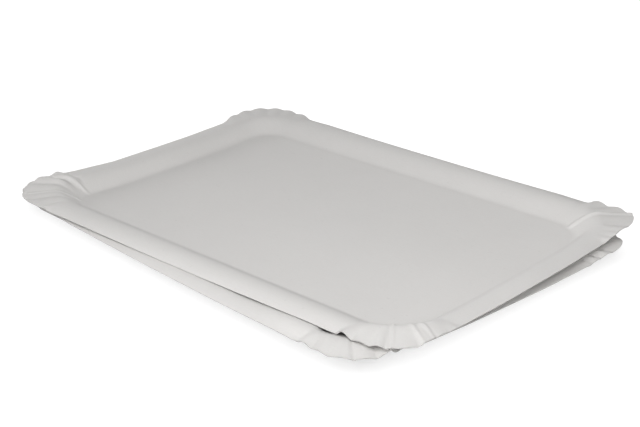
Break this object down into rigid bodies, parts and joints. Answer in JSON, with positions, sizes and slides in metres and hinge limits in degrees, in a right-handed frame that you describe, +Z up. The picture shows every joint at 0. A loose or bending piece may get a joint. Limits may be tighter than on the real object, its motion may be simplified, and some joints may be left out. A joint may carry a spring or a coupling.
{
  "type": "stack of cardboard food trays",
  "caption": "Shallow rectangular paperboard food trays, nested askew, each pressed from one sheet with fluted corner ears and a low rolled rim.",
  "frame": {"origin": "middle of the whole stack's plan, on the surface that the lower tray rests on", "axes": "+X along the lower tray's long sides, +Y along its short sides towards the far side of the picture, +Z up"},
  "size_m": [0.3574, 0.2806, 0.0236],
  "materials": {
    "lower_board": "matt uncoated off-white board",
    "upper_board": "matt uncoated off-white board"
  },
  "bodies": {
    "root": {"lower_tray": "lower_board", "upper_tray": "upper_board"}
  },
  "joints": []
}
